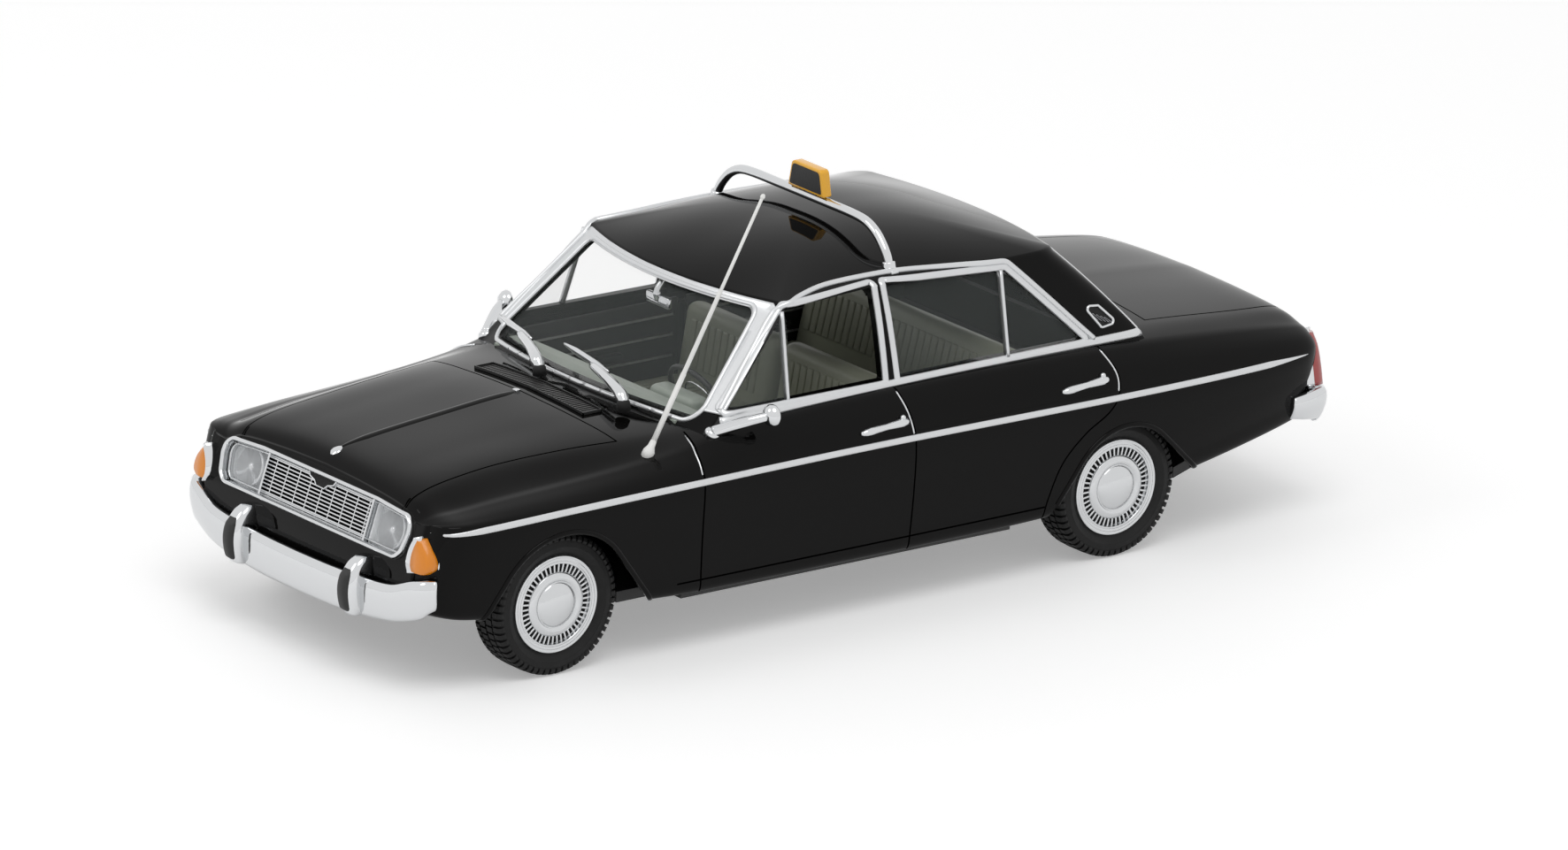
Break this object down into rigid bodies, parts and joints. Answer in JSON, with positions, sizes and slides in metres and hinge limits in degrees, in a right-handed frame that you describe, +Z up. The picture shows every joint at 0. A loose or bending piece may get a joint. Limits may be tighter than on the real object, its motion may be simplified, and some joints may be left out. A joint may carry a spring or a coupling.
{
  "type": "scale model taxi car",
  "caption": "Scale model of an old four-door saloon taxi in gloss black, with a roof bar and lit-sign housing, chrome trim, a furnished cabin and free-rolling wheels.",
  "frame": {"origin": "on the floor under the middle of the bounding box, with the tyres standing on z = 0", "axes": "+X points out of the front of the car, +Y to its left side, +Z up"},
  "size_m": [0.1056, 0.0422, 0.0405],
  "materials": {
    "black_enamel": "gloss black enamel over a zinc casting",
    "base_black": "satin black moulding",
    "dull_steel": "dull grey",
    "trim_black": "satin black moulding",
    "seat_grey": "grey-green moulding",
    "clear": "clear pane",
    "bright_trim": "bright plating",
    "grille_metal": "bright bars on a black back",
    "lamp_clear": "clear lens over a bright bowl",
    "amber": "translucent amber",
    "pad_rubber": "matte black",
    "lamp_red": "translucent red",
    "plate_white": "blank white",
    "sign_yellow": "yellow housing with a blank black panel",
    "axle_steel": "bright drawn pin",
    "tyre_black": "soft black",
    "disc_silver": "silver full wheel cover"
  },
  "bodies": {
    "model": {"body_shell": "black_enamel", "base_plate": "base_black", "exhaust": "dull_steel", "cabin_tub": "trim_black", "front_seats": "seat_grey", "rear_bench": "seat_grey", "dashboard": "seat_grey", "steering_wheel": "trim_black", "windscreen": "clear", "rear_window": "clear", "quarter_lights": "clear", "rear_side_glass": "clear", "cabin_mirror": "bright_trim", "grille": "grille_metal", "lamp_surround": "bright_trim", "headlamp_left": "lamp_clear", "headlamp_right": "lamp_clear", "indicator_left": "amber", "indicator_right": "amber", "front_bumper": "bright_trim", "overrider_pads": "pad_rubber", "rear_bumper": "bright_trim", "tail_lamp_left": "lamp_red", "tail_lamp_right": "lamp_red", "number_plate": "plate_white", "cowl_grille": "trim_black", "bonnet_emblem": "bright_trim", "wiper_left": "bright_trim", "wiper_right": "bright_trim", "door_mirror_left": "bright_trim", "door_mirror_right": "bright_trim", "door_handles": "bright_trim", "pillar_vents": "bright_trim", "aerial": "bright_trim", "roof_bar": "bright_trim", "taxi_sign": "sign_yellow"},
    "front_wheels": {"front_axle": "axle_steel", "front_tyre_left": "tyre_black", "front_tyre_right": "tyre_black", "front_disc_left": "disc_silver", "front_disc_right": "disc_silver"},
    "rear_wheels": {"rear_axle": "axle_steel", "rear_tyre_left": "tyre_black", "rear_tyre_right": "tyre_black", "rear_disc_left": "disc_silver", "rear_disc_right": "disc_silver"}
  },
  "joints": [
    {"name": "front_axle_roll", "type": "hinge", "parent": "model", "child": "front_wheels", "pos_m": [0.03595, 0, 0.0066], "axis": [0, 1, 0], "continuous": true},
    {"name": "rear_axle_roll", "type": "hinge", "parent": "model", "child": "rear_wheels", "pos_m": [-0.02695, 0, 0.0066], "axis": [0, 1, 0], "continuous": true}
  ]
}
